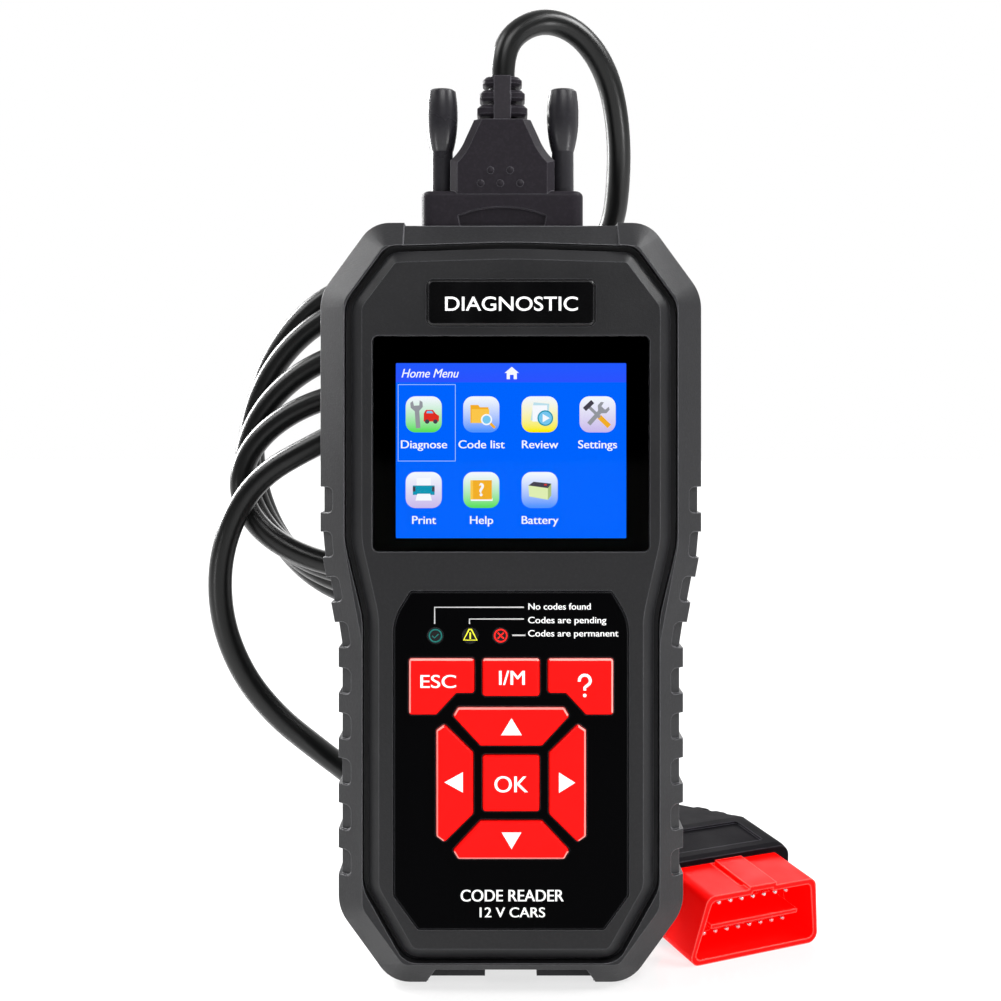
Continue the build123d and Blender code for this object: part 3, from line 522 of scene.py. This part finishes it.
def drawing(name, x, z, y, shapes, body=CASE):
    """Flat shapes (look, outline) round (x, z), each just in front of the last."""
    mesh = bpy.data.meshes.new(name)
    looks = []
    vertices, faces, slots = [], [], []
    for layer, (look, points) in enumerate(shapes):
        if look not in looks:
            looks.append(look)
        first = len(vertices)
        depth = (y - INK - LAYER * layer) * MM
        vertices += [((x + px) * MM, depth, (z + pz + LIFT) * MM) for px, pz in points]
        faces.append(list(range(first, first + len(points))))
        slots.append(looks.index(look))
    mesh.from_pydata(vertices, [], faces)
    for look in looks:
        mesh.materials.append(look)
    for face, index in zip(mesh.polygons, slots):
        face.material_index = index
    obj = bpy.data.objects.new(name, mesh)
    bpy.context.scene.collection.objects.link(obj)
    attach(obj, body)
    return obj


def bar(x1, z1, x2, z2, width):
    """Outline of a straight bar between two points."""
    length = ((x2 - x1) ** 2 + (z2 - z1) ** 2) ** 0.5
    nx, nz = -(z2 - z1) / length * width / 2, (x2 - x1) / length * width / 2
    return [(x1 + nx, z1 + nz), (x1 - nx, z1 - nz), (x2 - nx, z2 - nz), (x2 + nx, z2 + nz)]


def box_outline(x1, z1, x2, z2):
    return [(x1, z1), (x2, z1), (x2, z2), (x1, z2)]


def print_badge(white):
    words("badge_word", "DIAGNOSTIC", 0, 177.5, BADGE_FRONT, 3.8, white, weight=0.05, wide=1.12)


LIGHT_Z = 91.6                       # height of the three signs over the light guides
CLEAR_X, PENDING_X, FAULT_X = -20.0, -10.8, -2.75
SIGN_R = 1.62
LEGENDS = (                          # piece, words, height of the base line, width of the face
    ("clear_words", "No codes found", 98.5, 1.05),
    ("pending_words", "Codes are pending", 94.9, 1.12),
    ("fault_words", "Codes are permanent", 91.4, 1.11),
)
LEGEND_X = 4.4
LEGEND_SIZE = 1.75


def print_keypad(white, red):
    """The three signs, their leader lines and legends, and the lettering under the keys."""
    # The glow of these inks is painted light: printed lines and signs give off light of their own.
    line_grey = printed("line_ink", srgb(200, 200, 200), glow=0.25)
    teal = printed("teal_ink", srgb(10, 104, 98), glow=0.3)
    yellow = printed("yellow_ink", srgb(225, 225, 50), glow=0.55)
    x, z = CLEAR_X, LIGHT_Z
    y = LED_FRONT
    stroke("clear_ring", ring(x, z, SIGN_R), 0.38, y, teal, closed=True)
    tick = [(x - 0.85, z - 0.05), (x - 0.25, z - 0.6), (x + 0.85, z + 0.45)]
    stroke("clear_tick", tick, 0.32, y, teal)
    x = PENDING_X
    triangle = [(x - 1.75, z - 1.15), (x + 1.75, z - 1.15), (x + 0.3, z + 1.65), (x - 0.3, z + 1.65)]
    stroke("pending_triangle", triangle, 0.42, y, yellow, closed=True)
    stroke("pending_mark", [(x, z - 0.85), (x, z + 0.9)], 0.4, y, yellow)
    x = FAULT_X
    stroke("fault_ring", ring(x, z, SIGN_R), 0.42, y, red, closed=True)
    stroke("fault_cross_a", [(x - 0.8, z - 0.8), (x + 0.8, z + 0.8)], 0.38, y, red)
    stroke("fault_cross_b", [(x - 0.8, z + 0.8), (x + 0.8, z - 0.8)], 0.38, y, red)
    y = PLATE_FRONT
    stroke("clear_leader", [(-20.2, 94.7), (-20.2, 99.1), (3.4, 99.1)], 0.34, y, line_grey)
    stroke("pending_leader", [(-11.0, 94.7), (-11.0, 96.0), (3.4, 96.0)], 0.34, y, line_grey)
    stroke("fault_leader", [(0.3, 91.7), (3.8, 91.7)], 0.4, y, line_grey)
    for name, text, base, wide in LEGENDS:
        words(name, text, LEGEND_X, base, y, LEGEND_SIZE, white, align="LEFT", wide=wide, bold=0.06)
    words("lower_words_top", "CODE READER", 0.2, 21.4, y, 3.2, white, wide=0.92, bold=0.14)
    words("lower_words_base", "12 V CARS", 0.0, 17.2, y, 2.7, white, wide=1.05, bold=0.12)


HELP_X, HOOK_Z, HOOK_R = 19.4, 79.9, 1.45   # the question mark's hook, drawn as a stroke


def print_keys(white):
    y = KEY_FRONT
    words("legend_esc", "ESC", -19.3, 78.0, y, 3.55, white, "key_esc", wide=1.22, bold=0.12)
    words("legend_monitor", "I/M", 0.2, 78.8, y, 3.9, white, "key_monitor", wide=1.06, bold=0.14)
    angles = [radians(190 - 15 * i) for i in range(16)]
    hook = [(HELP_X + HOOK_R * cos(angle), HOOK_Z + HOOK_R * sin(angle)) for angle in angles]
    stroke("legend_help_hook", hook + [(HELP_X, 78.1), (HELP_X, 77.3)], 0.8, y, white, "key_help")
    drawing("legend_help_dot", HELP_X, 76.0, y, [(white, ring(0, 0, 0.48, 16))], "key_help")
    words("legend_ok", "OK", -0.1, 50.5, y, 4.4, white, "key_ok", wide=1.0, bold=0.12)
    triangles = {
        "key_up": (0.1, 67.6, [(-2.75, -2.1), (2.75, -2.1), (0, 2.4)]),
        "key_down": (0.1, 37.7, [(-2.6, 2.2), (0, -2.2), (2.6, 2.2)]),
        "key_left": (-15.2, 53.1, [(2.5, -2.7), (2.5, 2.7), (-2.4, 0)]),
        "key_right": (14.9, 53.0, [(-2.3, -2.7), (2.0, 0), (-2.3, 2.7)]),
    }
    for key, (x, z, points) in triangles.items():
        drawing(key + "_arrow", x, z, y, [(white, points)], key)


# ------------------------------------------------------- the display picture
TILE = 9.6
TILE_X = (-23.2, -7.9, 7.6, 23.0)
TILE_Z = (150.1, 130.0)


def wrench(x, z, lean, size):
    """Outlines of a spanner, leaning by so many degrees."""
    turn = radians(lean)

    def at(px, pz):
        return (x + size * (px * cos(turn) - pz * sin(turn)), z + size * (px * sin(turn) + pz * cos(turn)))

    shaft = [at(px, pz) for px, pz in [(-0.5, -2.8), (0.5, -2.8), (0.5, 1.4), (-0.5, 1.4)]]
    jaw = [(-0.5, 1.0), (0.5, 1.0), (1.35, 1.8), (1.35, 2.9), (0.75, 3.3), (0.6, 2.2), (-0.6, 2.2),
           (-0.75, 3.3), (-1.35, 2.9), (-1.35, 1.8)]
    return [shaft, [at(px, pz) for px, pz in jaw]]


def icon_shapes(ink):
    """The pictures on the tiles: a name, its tile colours and its flat shapes."""
    steel, dark, white, amber = ink["steel"], ink["dark"], ink["white"], ink["amber"]
    gold, red, sky, teal = ink["gold"], ink["red"], ink["sky"], ink["teal"]
    car = [(0.0, -1.9), (4.0, -1.9), (4.1, -0.4), (3.2, 0.2), (2.4, 1.2), (0.6, 1.2), (0.0, 0.2)]
    diagnose = [
        (red, car),
        (sky, [(0.7, 0.3), (2.6, 0.3), (2.1, 0.9), (0.9, 0.9)]),
        (dark, ring(0.9, -1.9, 0.6, 14)),
        (dark, ring(3.1, -1.9, 0.6, 14)),
    ]
    diagnose += [(steel, outline) for outline in wrench(-1.7, -0.3, 4, 1.2)]
    code_list = [
        (amber, [(-2.9, -2.3), (1.9, -2.3), (1.9, 1.9), (-0.4, 1.9), (-0.8, 2.5), (-2.9, 2.5)]),
        (gold, box_outline(-2.6, -2.3, 2.1, 1.4)),
        (white, ring(1.4, -1.4, 1.5, 20)),
        (sky, ring(1.4, -1.4, 1.1, 20)),
        (amber, bar(2.4, -2.4, 3.6, -3.6, 0.7)),
    ]
    review = [
        (ink["pale"], [(-2.4, -1.6), (-1.6, 3.2), (2.6, 2.8), (2.2, -1.8)]),
        (white, [(-1.9, -1.9), (-1.9, 2.4), (2.0, 2.4), (2.0, -1.9)]),
        (teal, ring(1.5, -1.0, 2.1, 24)),
        (sky, ring(1.5, -1.0, 1.75, 24)),
        (white, [(0.8, -2.1), (2.7, -1.0), (0.8, 0.1)]),
    ]
    settings = [
        (amber, bar(0.4, -0.6, 3.1, -3.2, 1.3)),
        (steel, bar(-2.6, 2.3, 0.6, -0.8, 0.8)),
        (dark, bar(-3.5, 1.3, -1.3, 3.4, 1.2)),
    ]
    settings += [(steel, outline) for outline in wrench(-0.2, -0.2, -42, 1.15)]
    printer = [
        (white, box_outline(-1.9, 0.6, 1.9, 3.2)),
        (teal, box_outline(-2.9, -1.3, 2.9, 1.2)),
        (dark, box_outline(-2.9, -0.4, -2.2, 0.9)),
        (dark, box_outline(2.2, -0.4, 2.9, 0.9)),
        (white, [(-1.7, -1.0), (1.7, -1.0), (2.2, -2.8), (-2.2, -2.8)]),
    ]
    manual = [
        (white, box_outline(-2.8, -2.9, 3.0, -2.2)),
        (amber, box_outline(-2.9, -2.5, 2.8, 2.6)),
        (gold, box_outline(-2.9, -2.5, -2.2, 2.6)),
    ]
    battery = [
        (dark, [(-3.0, 1.2), (-1.6, 2.2), (3.1, 1.7), (2.2, 0.5)]),
        (ink["lime"], [(-3.0, 1.2), (2.2, 0.5), (2.2, -2.6), (-2.8, -1.7)]),
        (ink["moss"], [(2.2, 0.5), (3.1, 1.7), (3.1, -1.5), (2.2, -2.6)]),
        (red, box_outline(1.2, 1.2, 1.9, 1.6)),
    ]
    return [
        ("Diagnose", "green", diagnose),
        ("Code list", "blue", code_list),
        ("Review", "yellow", review),
        ("Settings", "mauve", settings),
        ("Print", "mauve", printer),
        ("Help", "green", manual),
        ("Battery", "blue", battery),
    ]


def draw_screen():
    y = PANEL_FRONT
    ink = {
        "white": lit("glow_white", srgb(250, 252, 255)), "steel": lit("glow_steel", srgb(150, 152, 158)),
        "dark": lit("glow_dark", srgb(70, 66, 78)), "amber": lit("glow_amber", srgb(246, 176, 40)),
        "gold": lit("glow_gold", srgb(255, 200, 74)), "red": lit("glow_red", srgb(226, 48, 36)),
        "sky": lit("glow_sky", srgb(120, 200, 240)), "teal": lit("glow_teal", srgb(16, 150, 178)),
        "pale": lit("glow_pale", srgb(190, 226, 236)), "lime": lit("glow_lime", srgb(226, 240, 178)),
        "moss": lit("glow_moss", srgb(176, 196, 128)),
    }
    low = {
        "green": (96, 226, 96), "blue": (84, 150, 255),
        "yellow": (255, 240, 0), "mauve": (206, 190, 236),
    }
    top = srgb(246, 250, 255)
    tiles = {name: lit("tile_" + name, srgb(*color), top) for name, color in low.items()}
    header = lit("header_blue", srgb(44, 84, 255), srgb(34, 90, 255))
    drawing("screen_header", 0, 161.15, y, [(header, box_outline(-30.7, -2.55, 30.7, 2.6))])
    words("screen_title", "Home Menu", -29.3, 159.9, y - 0.01, 2.4, ink["white"],
          align="LEFT", slant=0.3, wide=0.9, bold=0.06)
    house = [(-1.9, 0.1), (0, 1.75), (1.9, 0.1), (1.35, 0.1), (1.35, -1.55), (0.5, -1.55),
             (0.5, -0.4), (-0.5, -0.4), (-0.5, -1.55), (-1.35, -1.55), (-1.35, 0.1)]
    drawing("screen_home", 0.2, 161.0, y - 0.02, [(ink["white"], house)])
    for i, (label, tile, shapes) in enumerate(icon_shapes(ink)):
        x, z = TILE_X[i % 4], TILE_Z[i // 4]
        name = label.lower().replace(" ", "_")
        drawing("tile_" + name, x, z, y, [(tiles[tile], rounded(0, 0, TILE, TILE, 2.6))])
        drawing("icon_" + name, x, z, y - 0.02, shapes)
        words("label_" + name, label, x, z - 9.0, y, 2.2, ink["white"], wide=1.1, bold=0.08)
    words("icon_help_mark", "?", TILE_X[1], TILE_Z[1] - 1.5, y - 0.05, 3.4, ink["white"], weight=0.12)
    frame_line = lit("glow_frame", srgb(170, 206, 255))
    corners = [(-30.0, 137.7), (-14.8, 137.7), (-14.8, 158.0), (-30.0, 158.0)]
    stroke("screen_choice", corners, 0.22, y, frame_line, closed=True)


def print_label(ink):
    """The foil label on the back: a border, rules and the supply voltage."""
    y = LABEL_BACK + 2 * INK             # stroke and words take one INK off it again
    stroke("label_border", rounded(0, 70, 45, 31, 1.2), 0.3, y, ink, closed=True)
    stroke("label_rule_a", [(-20, 74), (20, 74)], 0.25, y, ink)
    stroke("label_rule_b", [(-20, 64), (20, 64)], 0.25, y, ink)
    supply = words("label_supply", "12 V DC", 0, 67.6, y, 3.2, ink)
    supply.rotation_euler = FACE_BACK


# ---------------------------------------------------------- floor and lights
def make_floor():
    mesh = bpy.data.meshes.new("studio_floor")
    reach = 6.0
    mesh.from_pydata([(-reach, -reach, 0), (reach, -reach, 0), (reach, reach, 0), (-reach, reach, 0)], [],
                     [(0, 1, 2, 3)])
    floor = bpy.data.objects.new("studio_floor", mesh)
    look = Look("floor_paper", (0.3, 0.3, 0.3, 1.0), 0.12, Specular_IOR_Level=0.5)
    look.glow((1, 1, 1, 1), 0.72)
    look.rough(look.noise(60, 3.0), 0.1, 0.16)
    mesh.materials.append(look.material)
    bpy.context.scene.collection.objects.link(floor)


def area_light(name, spot, aim, width, height, power):
    data = bpy.data.lights.new(name, "AREA")
    data.shape = "RECTANGLE"
    data.size, data.size_y = width, height
    data.energy = power
    light = bpy.data.objects.new(name, data)
    light.location = spot
    toward = [a - b for a, b in zip(aim, spot)]
    light.rotation_euler = Vector(toward).to_track_quat("-Z", "Y").to_euler()
    bpy.context.scene.collection.objects.link(light)
    return light


def make_lights():
    middle = (0, 0, 0.13)
    area_light("upper_right_softbox", (0.5, -0.12, 0.72), middle, 0.3, 0.3, 5.6)
    area_light("upper_left_softbox", (-0.5, -0.12, 0.7), middle, 0.3, 0.3, 1.9)
    area_light("front_softbox", (0.1, -0.9, 0.9), middle, 0.6, 0.3, 4.4)
    area_light("back_softbox", (0, 0.9, 0.6), middle, 0.8, 0.5, 5)
    # Two low strips beside the object pick out its low bevels. A third one, behind it
    # on the left, lights the upper rims of the cable's turns.
    area_light("low_right_strip", (0.5, -0.36, 0.06), (0.03, 0, 0.06), 0.08, 0.12, 0.8)
    area_light("low_left_strip", (-0.5, -0.36, 0.06), (-0.03, 0, 0.06), 0.08, 0.12, 0.25)
    area_light("left_rim_strip", (-0.38, 0.28, 0.32), (-0.08, 0.04, 0.12), 0.14, 0.3, 5.0)


def make_world():
    """White behind the object, and a studio that is dark on the viewer's side."""
    world = bpy.data.worlds.new("studio")
    bpy.context.scene.world = world
    world.use_nodes = True
    tree = world.node_tree
    tree.nodes.clear()
    seen = tree.nodes.new("ShaderNodeBackground")
    seen.inputs["Color"].default_value = (1, 1, 1, 1)
    room = tree.nodes.new("ShaderNodeBackground")
    way = tree.nodes.new("ShaderNodeTexCoord")
    split = tree.nodes.new("ShaderNodeSeparateXYZ")
    tree.links.new(way.outputs["Generated"], split.inputs["Vector"])
    level = tree.nodes.new("ShaderNodeMapRange")
    level.inputs["From Min"].default_value = -0.6
    level.inputs["From Max"].default_value = 0.5
    level.inputs["To Min"].default_value = 0.02
    level.inputs["To Max"].default_value = 1.0
    tree.links.new(split.outputs["Y"], level.inputs["Value"])
    tree.links.new(level.outputs["Result"], room.inputs["Strength"])
    ray = tree.nodes.new("ShaderNodeLightPath")
    mix = tree.nodes.new("ShaderNodeMixShader")
    tree.links.new(ray.outputs["Is Camera Ray"], mix.inputs["Fac"])
    tree.links.new(room.outputs["Background"], mix.inputs[1])
    tree.links.new(seen.outputs["Background"], mix.inputs[2])
    out = tree.nodes.new("ShaderNodeOutputWorld")
    tree.links.new(mix.outputs["Shader"], out.inputs["Surface"])
    bpy.context.scene.view_settings.view_transform = "Standard"


make_camera()
make_lead()
finish_cad()
# The glow of the white and red inks is painted light: the printing gives off light of its own.
WHITE_INK = printed("white_ink", srgb(240, 240, 240), glow=0.35)
RED_INK = printed("red_ink", srgb(235, 20, 12), glow=0.5)
print_badge(WHITE_INK)
print_keypad(WHITE_INK, RED_INK)
print_keys(WHITE_INK)
draw_screen()
print_label(printed("label_ink", srgb(24, 24, 26)))
make_floor()
make_lights()
make_world()
